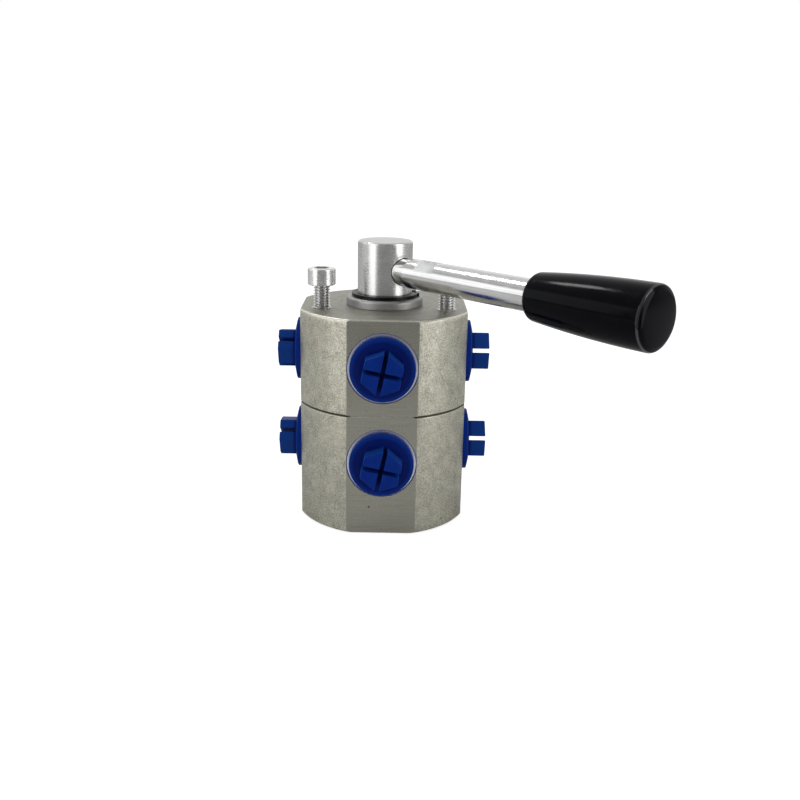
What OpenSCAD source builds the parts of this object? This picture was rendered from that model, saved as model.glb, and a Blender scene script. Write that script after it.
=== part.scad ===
// Manual rotary directional valve, millimetres.
// The origin is on the shaft axis at the base face, +Z points up the shaft,
// and -Y is the front, where two ports lie one above the other.

/* [Housing] */
// Diameter of the turned housing
body_d = 65; // [64:0.5:72]
// Width across the milled port flats
flat_af = 60; // [59:0.5:61]
// Height of the lower body
lower_h = 44; // [43:0.5:50]
// Height of the upper body
upper_h = 34.5; // [34.5:0.5:42]
// Chamfer round the top edge
top_chamfer = 0.9; // [0.3:0.1:1.2]
// Chamfer round the base edge
base_chamfer = 0.7; // [0.3:0.1:1.2]
// Chamfer on each side of the joint between the bodies
seam_chamfer = 0.5; // [0.2:0.1:0.9]
// Metal left outside the tie screw heads
tie_wall = 2; // [1.5:0.25:3]

/* [Ports] */
// Height of each port row above or below the joint
port_offset = 17.3; // [16.5:0.1:17.5]
// Major diameter of the port thread
port_d = 16.66; // [13:0.1:16.9]
// Depth of the port thread
port_depth = 12; // [10.5:0.5:13]
// Diameter of the spot face round a port
spot_d = 24.6; // [24:0.1:25]
// Depth of the spot face
spot_depth = 0.5; // [0.3:0.1:0.6]
// Diameter of the passage from the port to the rotor
passage_d = 9; // [6:0.5:9]

/* [Shipping plugs] */
// Diameter of the plug flange
plug_flange_d = 23; // [21:0.5:23.5]
// Thickness of the flange at its rim
plug_rim_t = 2.5; // [1.5:0.1:3]
// Extra thickness of the flange beside the hexagon
plug_cone_t = 0.7; // [0.2:0.1:1.2]
// Width across flats of the plug hexagon
plug_hex_af = 13.4; // [11:0.1:14]
// Height of the plug hexagon above the flange
plug_hex_h = 6.2; // [4:0.1:7]
// Width of the cross slots
plug_slot_w = 1.5; // [1:0.1:2]
// Depth of the cross slots
plug_slot_depth = 5.9; // [3:0.1:5.9]
// Length of the plug's threaded barrel
plug_barrel_l = 8; // [5:0.5:9]
// Wall of the barrel
plug_wall = 1.8; // [1.2:0.1:2.5]

/* [Rotor] */
// Diameter of the rotor's spool
spool_d = 24; // [23.5:0.5:25]
// Diameter of the operating shaft
shaft_d = 20; // [19:0.5:20.5]
// Height of the shaft above the housing
shaft_rise = 23.3; // [22:0.5:28]
// Chamfer at the top of the shaft
shaft_chamfer = 0.6; // [0.3:0.1:1]
// Angle that each flow groove spans
groove_span = 86; // [80:1:88]
// Depth of the flow grooves
groove_depth = 4.5; // [3:0.5:5]
// Width of the seal grooves
seal_w = 2.6; // [2:0.1:2.8]
// Depth of the seal grooves
seal_depth = 1.8; // [1.4:0.1:2]

/* [Gland ring and circlip] */
// Diameter of the collar, which locates a panel
collar_d = 28; // [27.5:0.1:30]
// Height of the collar above the housing
collar_h = 3.2; // [3:0.1:4]
// Diameter of the gland ring below the collar
gland_d = 26; // [25.8:0.1:27]
// Length of the gland ring below the collar
gland_l = 6.5; // [6:0.5:7]
// Thickness of the circlip
circlip_t = 1.2; // [1:0.1:1.75]
// Radial width of the circlip outside the shaft
circlip_w = 2.1; // [1.9:0.1:2.4]
// Depth of the circlip groove
circlip_depth = 0.6; // [0.4:0.1:0.9]
// Opening of the circlip
circlip_gap = 3; // [2:0.5:4]
// Direction of the circlip's opening at rest, from the right
circlip_turn = 12; // [0:1:40]

/* [Lever] */
// Height of the lever above the housing
lever_rise = 13; // [12.5:0.1:15]
// Diameter of the lever rod
rod_d = 10.7; // [10:0.1:10.8]
// Diameter of the rod's neck beside the shaft
rod_neck_d = 9.6; // [9:0.1:9.8]
// Distance from the shaft axis to the end of the neck
rod_neck_end = 14; // [12:0.5:16]
// Distance from the shaft axis to the knob
knob_start = 70.2; // [55:1:110]
// Thread diameter of the rod in the shaft
rod_thread_d = 10; // [8:0.5:10]
// Length of that thread
rod_thread_l = 13.5; // [10:0.5:14]
// Thread diameter of the rod in the knob
knob_thread_d = 8; // [6:0.5:8]
// Length of that thread
knob_thread_l = 24; // [15:1:30]
// Width across the wrench flats
rod_flat_af = 9; // [7:0.1:9.5]
// Distance from the shaft axis to the wrench flats
rod_flat_start = 20; // [17:1:30]
// Length of the wrench flats
rod_flat_l = 8.5; // [6:0.5:15]
// Roll of the wrench flats about the rod
rod_flat_turn = 33; // [0:1:60]

/* [Knob] */
// Length of the knob's tapered side
knob_l = 44.4; // [35:0.5:60]
// Diameter of the knob at the rod
knob_start_d = 15.9; // [14:0.1:17]
// Diameter of the knob at its end
knob_end_d = 20.2; // [18:0.1:24]
// Radius of the rounding at the rod
knob_start_round = 2.4; // [1:0.1:2.6]
// Radius of the rounding at the end
knob_end_round = 1.1; // [0.5:0.1:3]
// Height of the domed end face
knob_dome = 1; // [0.3:0.1:3]

/* [Mounting screws] */
// Thread diameter of the mounting screws
mount_d = 6; // [5:0.5:6]
// Diameter of the circle that the screws stand on
mount_pcd = 48; // [47.5:0.5:50]
// Angle by which the left and right screws stand in front of the axis
mount_spread = 20; // [17:1:20]
// Length of the screws below the head
mount_l = 16; // [15:0.5:16]
// Height of the screw heads above the housing
mount_rise = 8.2; // [8:0.1:9]
// Depth of the tapped holes
mount_hole_depth = 8; // [8:0.1:8.3]

/* [Tie screws] */
// Thread diameter of the tie screws
tie_d = 6; // [5:0.5:6]
// Length of the tie screws below the head
tie_l = 50; // [48:1:52]
// Depth from the base to the tie screw heads' underside
tie_sink = 7; // [6.5:0.5:9]

/* [Base] */
// Diameter of the end cap
cap_d = 32; // [31:0.5:32.5]
// Thickness of the end cap
cap_t = 8; // [7.5:0.5:8.5]
// Thickness of the thrust washers
washer_t = 1.5; // [1.4:0.1:2]
// Diameter of the detent balls
ball_d = 5; // [4:0.5:5]
// Radius of the circle that the balls run on
ball_track_r = 5.5; // [5:0.25:5.5]
// Angle from the middle position to each end position
swing = 43; // [36:1:43]
// Diameter of the stop pin
stop_d = 3; // [2.5:0.5:3]
// Reach of the stop pin beyond the spool
stop_reach = 3; // [2:0.5:3]
// Wire diameter of the detent springs
spring_wire = 0.8; // [0.5:0.1:0.9]
// Number of turns of each detent spring
spring_turns = 4; // [3:1:5]

/* [Joint] */
// Diameter of the dowel pins
dowel_d = 4; // [3:0.5:4]
// Length of the dowel pins
dowel_l = 10; // [8:1:12]
// Distance of the dowel pins from the axis
dowel_r = 23; // [22:0.5:24]
// Inner radius of the joint seal groove
joint_seal_r = 14.2; // [13.8:0.1:15]

/* [Fits] */
// Radial clearance of the running fits
run_gap = 0.03; // [0.02:0.01:0.05]
// Radial clearance of screws, pins and seals in their seats
seat_gap = 0.05; // [0.03:0.01:0.08]
// Clearance of loose pieces and of the stop
free_gap = 0.3; // [0.25:0.05:0.4]

/* [Hidden] */

$fn = 96;
eps = 0.01;
cut = 1; // how far a cutter runs past the face that it cuts

body_h = lower_h + upper_h;
bore_d = spool_d + 2 * run_gap;
port_z_lower = lower_h - port_offset;
port_z_upper = lower_h + port_offset;
port_turns = [0, 90, 180, 270];
flat_x = flat_af / 2;
spot_x = flat_x - spot_depth;

// Heights of what is stacked on the axis
base_washer_z = cap_t;
spool_base_z = base_washer_z + washer_t;
gland_base_z = body_h - gland_l;
top_washer_z = gland_base_z - washer_t;
spool_top_z = top_washer_z;
collar_top_z = body_h + collar_h;
shaft_top_z = body_h + shaft_rise;
lever_z = body_h + lever_rise;

// Seals of the rotor, placed beside the port rows
seal_margin = 1.8;
top_seal_margin = 0.7;
seal_side = passage_d / 2 + seal_margin;
seal_z_base = port_z_lower - seal_side - seal_w;
seal_z_lower = port_z_lower + seal_side;
seal_z_upper = port_z_upper - seal_side - seal_w;
seal_z_top = spool_top_z - top_seal_margin - seal_w;
seal_groove_r = spool_d / 2 - seal_depth;

// Seals of the gland ring and of the end cap
shaft_seal_w = 2.4;
shaft_seal_t = 1.6;
shaft_seal_z = body_h - 0.3 - shaft_seal_w;
gland_seal_w = 2;
gland_seal_t = 1.3;
gland_seal_z = gland_base_z + 0.8;
wiper_t = 1.5;
wiper_h = 2.2;
cap_seal_w = 2.2;
cap_seal_t = 1.5;
cap_seal_z = 2.6;
spanner_r = 10.2;
spanner_d = 4;
spanner_depth = 4;
joint_seal_w = 2.4;
joint_seal_t = 1.6;

// Circlip in its groove on the shaft
shaft_bore_r = shaft_d / 2 + run_gap;
circlip_r = shaft_d / 2 - circlip_depth;
circlip_out_r = shaft_d / 2 + circlip_w;
circlip_lug_r = 1.5;
circlip_hole_d = 1.2;

// Tie screws
tie_head_d = 10 * tie_d / 6;
tie_head_h = tie_d;
tie_bore_d = tie_head_d + 1;
tie_r = body_d / 2 - tie_wall - tie_bore_d / 2;
tie_turns = [45, 135, 225, 315];
tie_clear_d = tie_d + 0.6;
tie_spare = 2; // depth of the tapped hole beyond the screw

// Mounting screws: one at the back, one at the left and one at the right
mount_head_d = 10 * mount_d / 6;
mount_head_h = mount_d;
mount_turns = [90, 180 + mount_spread, 360 - mount_spread];

// Detents, stop and flow grooves, all set out from the lever, which rests at the right of the front
lever_azimuth = swing - 90;
groove_turns = [lever_azimuth + 90, lever_azimuth + 270];
ball_turns = [lever_azimuth + 90, lever_azimuth + 270];
stop_turn = lever_azimuth + 180;
stop_lift = 0.5; // height of the pin above the rotor's lower end
stop_hold = 7.5; // length of the pin inside the spool
stop_z = spool_base_z + stop_d / 2 + stop_lift;
stop_inner_r = spool_d / 2 - stop_hold;
stop_outer_r = spool_d / 2 + stop_reach;
stop_side = asin((stop_d / 2 + free_gap) / (bore_d / 2));
track_gap = 0.1;
detent_extra = 0.3;
spring_d = ball_d - 0.5;
spring_base_z = spool_base_z + ball_d / 2 + seat_gap;
spring_wall = 2; // metal between the spring hole and the flow grooves
spring_top_z = port_z_lower - passage_d / 2 - spring_wall;
ball_hole_top_z = spring_top_z + seat_gap;

// The rod's thread ends a little inside the shaft
rod_thread_sink = 2;
rod_thread_end = shaft_d / 2 - rod_thread_sink;

// A ring that is flat inside and outside and bulges at the ends, as a squeezed seal does
module squeezed_ring(inner_r, outer_r, width, z) {
  thick = outer_r - inner_r;
  bulge_d = sqrt(thick * thick + width * width) * 0.9;
  rotate_extrude()
    translate([(inner_r + outer_r) / 2, z + width / 2])
      intersection() {
        square([thick, width], center = true);
        circle(d = bulge_d, $fn = 48);
      }
}

module ring(inner_r, outer_r, height, z) {
  translate([0, 0, z])
    difference() {
      cylinder(r = outer_r, h = height);
      translate([0, 0, -cut]) cylinder(r = inner_r, h = height + 2 * cut);
    }
}

// A wedge of the given angle, centred on the +X axis
module wedge(span, radius, height) {
  rotate([0, 0, -span / 2]) rotate_extrude(angle = span) square([radius, height]);
}

module body_blank(height, low_chamfer, high_chamfer) {
  r = body_d / 2;
  intersection() {
    rotate_extrude()
      polygon([
        [0, 0], [r - low_chamfer, 0], [r, low_chamfer],
        [r, height - high_chamfer], [r - high_chamfer, height], [0, height]
      ]);
    translate([-flat_x, -flat_x, -cut]) cube([flat_af, flat_af, height + 2 * cut]);
  }
}

// Four ports in one row, cut inwards from the flats
module port_row(z) {
  for (turn = port_turns)
    rotate([0, 0, turn])
      translate([flat_x, 0, z])
        rotate([0, -90, 0]) {
          translate([0, 0, -cut]) cylinder(d = spot_d, h = spot_depth + cut);
          cylinder(d = port_d, h = spot_depth + port_depth);
          cylinder(d = passage_d, h = flat_x - bore_d / 4);
        }
}

module lower_body() {
  color("darkgray")
    difference() {
      body_blank(lower_h, base_chamfer, seam_chamfer);
      translate([0, 0, -cut]) cylinder(d = bore_d, h = lower_h + 2 * cut);
      translate([0, 0, -cut]) cylinder(d = cap_d + 2 * seat_gap, h = cap_t + cut);
      // The pocket that the stop pin swings in
      rotate([0, 0, stop_turn - swing])
        translate([0, 0, cap_t - eps])
          wedge(2 * swing + 2 * stop_side, stop_outer_r + free_gap, stop_z + stop_d / 2 + free_gap - cap_t + eps);
      port_row(port_z_lower);
      ring(joint_seal_r, joint_seal_r + joint_seal_w, joint_seal_t + cut, lower_h - joint_seal_t);
      for (turn = tie_turns)
        rotate([0, 0, turn])
          translate([tie_r, 0, -cut]) {
            cylinder(d = tie_bore_d, h = tie_sink + cut);
            cylinder(d = tie_clear_d, h = lower_h + 2 * cut);
          }
      dowel_holes();
    }
}

module dowel_holes() {
  for (side = [-1, 1])
    translate([side * dowel_r, 0, lower_h - dowel_l / 2 - free_gap])
      cylinder(d = dowel_d + 2 * seat_gap, h = dowel_l + 2 * free_gap);
}

module upper_body() {
  color("darkgray")
    difference() {
      translate([0, 0, lower_h]) body_blank(upper_h, seam_chamfer, top_chamfer);
      translate([0, 0, lower_h - cut]) cylinder(d = bore_d, h = upper_h + 2 * cut);
      translate([0, 0, gland_base_z]) cylinder(d = gland_d + 2 * seat_gap, h = gland_l + cut);
      port_row(port_z_upper);
      for (turn = tie_turns)
        rotate([0, 0, turn])
          translate([tie_r, 0, lower_h - cut])
            cylinder(d = tie_d + 2 * seat_gap, h = tie_sink + tie_l - lower_h + tie_spare + cut);
      for (turn = mount_turns)
        rotate([0, 0, turn])
          translate([mount_pcd / 2, 0, body_h - mount_hole_depth])
            cylinder(d = mount_d + 2 * seat_gap, h = mount_hole_depth + cut);
      dowel_holes();
    }
}

module joint_seal() {
  color("black")
    ring(
      joint_seal_r + seat_gap, joint_seal_r + joint_seal_w - seat_gap,
      joint_seal_t, lower_h - joint_seal_t
    );
}

module dowel_pins() {
  color("silver")
    for (side = [-1, 1])
      translate([side * dowel_r, 0, lower_h - dowel_l / 2]) cylinder(d = dowel_d, h = dowel_l);
}

// A socket head screw with its head's underside at z = 0, shank downwards
module socket_screw(thread_d, length, head_d, head_h) {
  head_chamfer = 0.4;
  socket_af = thread_d * 5 / 6;
  difference() {
    union() {
      translate([0, 0, -length]) cylinder(d = thread_d, h = length + eps);
      rotate_extrude()
        polygon([
          [0, 0], [head_d / 2, 0], [head_d / 2, head_h - head_chamfer],
          [head_d / 2 - head_chamfer, head_h], [0, head_h]
        ]);
    }
    translate([0, 0, head_h / 2]) cylinder(d = socket_af / cos(30), h = head_h, $fn = 6);
  }
}

module tie_screws() {
  color("dimgray")
    for (turn = tie_turns)
      rotate([0, 0, turn])
        translate([tie_r, 0, tie_sink])
          rotate([180, 0, 0])
            socket_screw(tie_d, tie_l, tie_head_d, tie_head_h);
}

module end_cap() {
  color("gray")
    difference() {
      cylinder(d = cap_d, h = cap_t);
      ring(cap_d / 2 - cap_seal_t, cap_d / 2 + cut, cap_seal_w, cap_seal_z);
      // Holes for a pin spanner
      for (side = [-1, 1])
        translate([side * spanner_r, 0, -cut]) cylinder(d = spanner_d, h = spanner_depth + cut);
      // The track of the detent balls, with a deeper pocket at each position
      rotate_extrude() translate([ball_track_r, spool_base_z]) circle(d = ball_d + 2 * track_gap, $fn = 48);
      for (turn = ball_turns, step = [0 : 2])
        rotate([0, 0, turn - step * swing])
          translate([ball_track_r, 0, spool_base_z]) sphere(d = ball_d + 2 * detent_extra, $fn = 48);
    }
}

module end_cap_seal() {
  color("black")
    squeezed_ring(cap_d / 2 - cap_seal_t + seat_gap, cap_d / 2, cap_seal_w - 2 * seat_gap, cap_seal_z + seat_gap);
}

module base_washer() {
  color("darkgoldenrod")
    ring(ball_track_r + ball_d / 2 + free_gap, spool_d / 2 - seat_gap, washer_t, base_washer_z);
}

module top_washer() {
  color("darkgoldenrod")
    ring(shaft_d / 2 + seat_gap, spool_d / 2 - seat_gap, washer_t, top_washer_z);
}

// Two opposite grooves that join neighbouring ports of one row
module flow_grooves(z) {
  for (turn = groove_turns)
    rotate([0, 0, turn])
      translate([0, 0, z - passage_d / 2])
        difference() {
          wedge(groove_span, spool_d / 2 + cut, passage_d);
          translate([0, 0, -cut]) cylinder(r = spool_d / 2 - groove_depth, h = passage_d + 2 * cut);
        }
}

module seal_groove(z) {
  ring(seal_groove_r, spool_d / 2 + cut, seal_w, z);
}

// Carries its children to the lever's line, with +X out along the rod
module on_lever() {
  translate([0, 0, lever_z]) rotate([0, 0, lever_azimuth]) children();
}

module rotor() {
  color("silver")
    difference() {
      union() {
        translate([0, 0, spool_base_z]) cylinder(d = spool_d, h = spool_top_z - spool_base_z);
        rotate_extrude()
          polygon([
            [0, spool_top_z - eps], [shaft_d / 2, spool_top_z - eps],
            [shaft_d / 2, shaft_top_z - shaft_chamfer],
            [shaft_d / 2 - shaft_chamfer, shaft_top_z], [0, shaft_top_z]
          ]);
      }
      flow_grooves(port_z_lower);
      flow_grooves(port_z_upper);
      seal_groove(seal_z_base);
      seal_groove(seal_z_lower);
      seal_groove(seal_z_upper);
      seal_groove(seal_z_top);
      ring(circlip_r, shaft_d / 2 + cut, circlip_t + 2 * seat_gap, collar_top_z - seat_gap);
      for (turn = ball_turns)
        rotate([0, 0, turn])
          translate([ball_track_r, 0, spool_base_z - cut])
            cylinder(d = ball_d + 2 * seat_gap, h = ball_hole_top_z - spool_base_z + cut);
      rotate([0, 0, stop_turn])
        translate([stop_inner_r - seat_gap, 0, stop_z])
          rotate([0, 90, 0])
            cylinder(d = stop_d + 2 * seat_gap, h = stop_outer_r);
      on_lever()
        rotate([0, 90, 0])
          translate([0, 0, rod_thread_end - rod_thread_l - cut])
            cylinder(d = rod_thread_d + 2 * seat_gap, h = shaft_d);
    }
}

module rotor_seal(z) {
  color("black")
    squeezed_ring(seal_groove_r + seat_gap, spool_d / 2, seal_w - 2 * seat_gap, z + seat_gap);
}

module rotor_seal_base() { rotor_seal(seal_z_base); }
module rotor_seal_lower() { rotor_seal(seal_z_lower); }
module rotor_seal_upper() { rotor_seal(seal_z_upper); }
module rotor_seal_top() { rotor_seal(seal_z_top); }

module stop_pin() {
  color("silver")
    rotate([0, 0, stop_turn])
      translate([stop_inner_r, 0, stop_z])
        rotate([0, 90, 0])
          cylinder(d = stop_d, h = stop_outer_r - stop_inner_r);
}

module detent_balls() {
  color("silver")
    for (turn = ball_turns)
      rotate([0, 0, turn]) translate([ball_track_r, 0, spool_base_z]) sphere(d = ball_d);
}

// One closed coil spring of round wire, swept along a helix
function coil_ring(i, steps, sides, coil_r, wire_r, rise, turns) =
  let (a = 360 * turns * i / steps, z = rise * i / steps)
  [for (k = [0 : sides - 1])
    let (b = 360 * k / sides, r = coil_r + wire_r * cos(b))
    [r * cos(a), r * sin(a), z + wire_r * sin(b)]];

module coil(coil_r, wire_r, rise, turns) {
  sides = 8;
  steps = 12 * turns;
  points = [for (i = [0 : steps]) each coil_ring(i, steps, sides, coil_r, wire_r, rise, turns)];
  start_face = [for (k = [0 : sides - 1]) k];
  end_face = [for (k = [0 : sides - 1]) steps * sides + sides - 1 - k];
  side_faces = [
    for (i = [0 : steps - 1], k = [0 : sides - 1])
      let (n = (k + 1) % sides)
      each [
        [i * sides + k, (i + 1) * sides + k, (i + 1) * sides + n],
        [i * sides + k, (i + 1) * sides + n, i * sides + n]
      ]
  ];
  polyhedron(points, concat([start_face, end_face], side_faces));
}

module detent_springs() {
  wire_r = spring_wire / 2;
  color("gainsboro")
    for (turn = ball_turns)
      rotate([0, 0, turn])
        translate([ball_track_r, 0, spring_base_z + wire_r])
          coil((spring_d - spring_wire) / 2, wire_r, spring_top_z - spring_base_z - spring_wire, spring_turns);
}

module gland_ring() {
  color("gray")
    difference() {
      union() {
        translate([0, 0, gland_base_z]) cylinder(d = gland_d, h = gland_l + eps);
        translate([0, 0, body_h]) cylinder(d = collar_d, h = collar_h);
      }
      translate([0, 0, gland_base_z - cut]) cylinder(r = shaft_bore_r, h = gland_l + collar_h + 2 * cut);
      ring(shaft_bore_r - eps, shaft_bore_r + shaft_seal_t, shaft_seal_w, shaft_seal_z);
      ring(gland_d / 2 - gland_seal_t, gland_d / 2 + cut, gland_seal_w, gland_seal_z);
      ring(shaft_bore_r - eps, shaft_bore_r + wiper_t, wiper_h + cut, collar_top_z - wiper_h);
    }
}

module gland_seal() {
  color("black")
    squeezed_ring(gland_d / 2 - gland_seal_t + seat_gap, gland_d / 2, gland_seal_w - 2 * seat_gap, gland_seal_z + seat_gap);
}

module shaft_seal() {
  color("black")
    squeezed_ring(shaft_bore_r, shaft_bore_r + shaft_seal_t - seat_gap, shaft_seal_w - 2 * seat_gap, shaft_seal_z + seat_gap);
}

module wiper_seal() {
  lip_h = 0.5;
  color("black")
    rotate_extrude()
      translate([0, collar_top_z - wiper_h])
        polygon([
          [shaft_bore_r + wiper_t / 3, 0], [shaft_bore_r + wiper_t - seat_gap, 0],
          [shaft_bore_r + wiper_t - seat_gap, wiper_h - lip_h],
          [shaft_bore_r, wiper_h - lip_h / 2], [shaft_bore_r, wiper_h - 2 * lip_h]
        ]);
}

// An external ring with two pierced lugs at its opening
module circlip() {
  lug_x = circlip_out_r - circlip_lug_r * 0.8;
  lug_y = circlip_gap / 2 + circlip_lug_r * 0.9;
  color("black")
    translate([0, 0, collar_top_z])
      rotate([0, 0, circlip_turn])
        linear_extrude(circlip_t)
          difference() {
            union() {
              circle(r = circlip_out_r);
              for (side = [-1, 1]) translate([lug_x, side * lug_y]) circle(r = circlip_lug_r, $fn = 32);
            }
            circle(r = circlip_r + seat_gap);
            translate([0, -circlip_gap / 2]) square([collar_d, circlip_gap]);
            for (side = [-1, 1]) translate([lug_x, side * lug_y]) circle(d = circlip_hole_d, $fn = 24);
          }
}

module lever_rod() {
  color("lightgray")
    on_lever()
      difference() {
        rotate([0, 90, 0]) {
          translate([0, 0, rod_thread_end - rod_thread_l]) cylinder(d = rod_thread_d, h = rod_thread_l);
          translate([0, 0, rod_thread_end - eps])
            cylinder(d = rod_neck_d, h = rod_neck_end - rod_thread_end + 2 * eps);
          translate([0, 0, rod_neck_end]) cylinder(d = rod_d, h = knob_start - rod_neck_end);
          translate([0, 0, knob_start - eps]) cylinder(d = knob_thread_d, h = knob_thread_l + eps);
        }
        for (side = [0, 1])
          rotate([rod_flat_turn + 180 * side, 0, 0])
            translate([rod_flat_start, -rod_d, rod_flat_af / 2])
              cube([rod_flat_l, 2 * rod_d, rod_d]);
      }
}

// Outline of the knob from the rod to the end: rounding, swelling taper, rounding, dome
function knob_outline() =
  let (
    r0 = knob_start_d / 2,
    r1 = knob_end_d / 2,
    a = knob_start_round,
    b = knob_end_round,
    side_l = knob_l - a - b,
    corner = [for (t = [0 : 15 : 90]) [r0 - a * (1 - sin(t)), a * (1 - cos(t))]],
    side = [for (t = [0.05 : 0.05 : 0.9501]) [r0 + (r1 - r0) * (1 - pow(1 - t, 2)), a + side_l * t]],
    edge = [for (t = [0 : 15 : 90]) [r1 - b * (1 - cos(t)), knob_l - b + b * sin(t)]],
    dome = [for (t = [15 : 15 : 90]) [(r1 - b) * cos(t), knob_l + knob_dome * sin(t)]]
  )
  concat(corner, side, edge, dome);

module lever_knob() {
  color("black")
    on_lever()
      translate([knob_start, 0, 0])
        rotate([0, 90, 0])
          difference() {
            rotate_extrude() polygon(concat([[0, 0]], knob_outline()));
            translate([0, 0, -cut]) cylinder(d = knob_thread_d + 2 * seat_gap, h = knob_thread_l + 2 * cut);
          }
}

module mounting_screws() {
  color("silver")
    for (turn = mount_turns)
      rotate([0, 0, turn])
        translate([mount_pcd / 2, 0, body_h + mount_rise])
          socket_screw(mount_d, mount_l, mount_head_d, mount_head_h);
}

// A shipping plug standing on a spot face: +Z leaves the port, turn rolls the hexagon
module shipping_plug(turn) {
  hex_r = plug_hex_af / 2 / cos(30);
  hub_z = plug_rim_t + plug_cone_t;
  barrel_r = port_d / 2 - free_gap;
  color("mediumblue")
    rotate([0, 0, turn])
      difference() {
        union() {
          translate([0, 0, -plug_barrel_l]) cylinder(r = barrel_r, h = plug_barrel_l + eps);
          rotate_extrude()
            polygon([
              [0, 0], [plug_flange_d / 2, 0], [plug_flange_d / 2, plug_rim_t],
              [hex_r, hub_z], [0, hub_z]
            ]);
          translate([0, 0, hub_z - eps]) cylinder(r = hex_r, h = plug_hex_h + eps, $fn = 6);
        }
        translate([0, 0, -plug_barrel_l - cut]) cylinder(r = barrel_r - plug_wall, h = plug_barrel_l + cut);
        for (slot_turn = [0, 90])
          rotate([0, 0, slot_turn])
            translate([-hex_r - cut, -plug_slot_w / 2, hub_z + plug_hex_h - plug_slot_depth])
              cube([2 * (hex_r + cut), plug_slot_w, plug_slot_depth + cut]);
      }
}

// Puts a plug in the port at the given azimuth and height
module plug_in_port(azimuth, z, turn) {
  rotate([0, 0, azimuth]) translate([spot_x, 0, z]) rotate([90, 0, 90]) shipping_plug(turn);
}

module plug_upper_front() { plug_in_port(270, port_z_upper, 79); }
module plug_upper_right() { plug_in_port(0, port_z_upper, -13.5); }
module plug_upper_back() { plug_in_port(90, port_z_upper, 20); }
module plug_upper_left() { plug_in_port(180, port_z_upper, 130); }
module plug_lower_front() { plug_in_port(270, port_z_lower, 78); }
module plug_lower_right() { plug_in_port(0, port_z_lower, -18.7); }
module plug_lower_back() { plug_in_port(90, port_z_lower, 40); }
module plug_lower_left() { plug_in_port(180, port_z_lower, 126); }

lower_body();
upper_body();
joint_seal();
dowel_pins();
tie_screws();
end_cap();
end_cap_seal();
base_washer();
rotor();
rotor_seal_base();
rotor_seal_lower();
rotor_seal_upper();
rotor_seal_top();
stop_pin();
detent_balls();
detent_springs();
top_washer();
gland_ring();
gland_seal();
shaft_seal();
wiper_seal();
circlip();
lever_rod();
lever_knob();
mounting_screws();
plug_upper_front();
plug_upper_right();
plug_upper_back();
plug_upper_left();
plug_lower_front();
plug_lower_right();
plug_lower_back();
plug_lower_left();
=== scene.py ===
# The manual rotary valve in its finishes, in metres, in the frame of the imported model.
import math
import bpy
from mathutils import Matrix, Vector


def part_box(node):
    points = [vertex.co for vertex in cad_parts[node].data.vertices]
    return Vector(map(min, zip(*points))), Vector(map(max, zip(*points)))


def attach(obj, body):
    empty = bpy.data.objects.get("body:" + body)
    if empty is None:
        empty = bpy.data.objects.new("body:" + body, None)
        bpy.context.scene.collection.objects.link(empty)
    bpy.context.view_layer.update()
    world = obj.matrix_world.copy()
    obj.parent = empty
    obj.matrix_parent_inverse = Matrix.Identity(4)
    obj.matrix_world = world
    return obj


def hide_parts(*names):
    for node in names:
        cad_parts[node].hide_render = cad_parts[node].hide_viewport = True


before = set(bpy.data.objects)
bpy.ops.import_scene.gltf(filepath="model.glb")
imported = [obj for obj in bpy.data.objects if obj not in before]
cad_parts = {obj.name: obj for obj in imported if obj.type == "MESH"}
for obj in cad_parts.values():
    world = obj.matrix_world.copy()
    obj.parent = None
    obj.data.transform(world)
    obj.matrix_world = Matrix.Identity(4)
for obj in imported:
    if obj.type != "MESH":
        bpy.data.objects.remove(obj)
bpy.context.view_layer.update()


def port_height(node):
    """Height of a port's axis, from its plug's box."""
    low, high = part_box(node)
    return (low.z + high.z) / 2


def ring_places(radius, turns):
    """Places on a circle, at angles in degrees."""
    return [(radius * math.cos(math.radians(t)), radius * math.sin(math.radians(t))) for t in turns]


MM = 0.001
FIT_GAP = 0.05 * MM
CUT_PAST = 1.0 * MM
WELD = 1e-6

# Housing
BODY_R = 32.5 * MM
FLAT_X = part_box("upper_body")[1].x
SEAM_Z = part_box("lower_body")[1].z
TOP_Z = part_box("upper_body")[1].z
TOP_CHAMFER = 0.6 * MM
BASE_CHAMFER = 0.7 * MM
SEAM_CHAMFER = 0.5 * MM
BODY_EDGE = 0.22 * MM
BORE_R = 12.03 * MM
CAP_SEAT_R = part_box("end_cap")[1].x + FIT_GAP
CAP_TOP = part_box("end_cap")[1].z
GLAND_SEAT_R = 13.05 * MM
GLAND_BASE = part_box("gland_ring")[0].z
JOINT_SEAL_IN = 14.2 * MM
JOINT_SEAL_OUT = 16.6 * MM
JOINT_SEAL_DEPTH = 1.6 * MM

# Two dark specks low on the front
SPECK_R = 0.55 * MM
SPECK_PLACES = [(-4.3 * MM, -FLAT_X, 10.1 * MM), (22.2 * MM, -23.74 * MM, 3.4 * MM)]

# Ports
PORT_ROWS = {row: port_height(f"plug_{row}_front") for row in ("lower", "upper")}
SPOT_R = 12.3 * MM
SPOT_DEPTH = 0.5 * MM
SPOT_FLOOR = FLAT_X - SPOT_DEPTH
SPOT_RIM = 0.35 * MM
PORT_R = 8.33 * MM
PORT_DEPTH = 12.0 * MM
PASSAGE_R = 4.5 * MM
PASSAGE_END = 6.0 * MM

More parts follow.
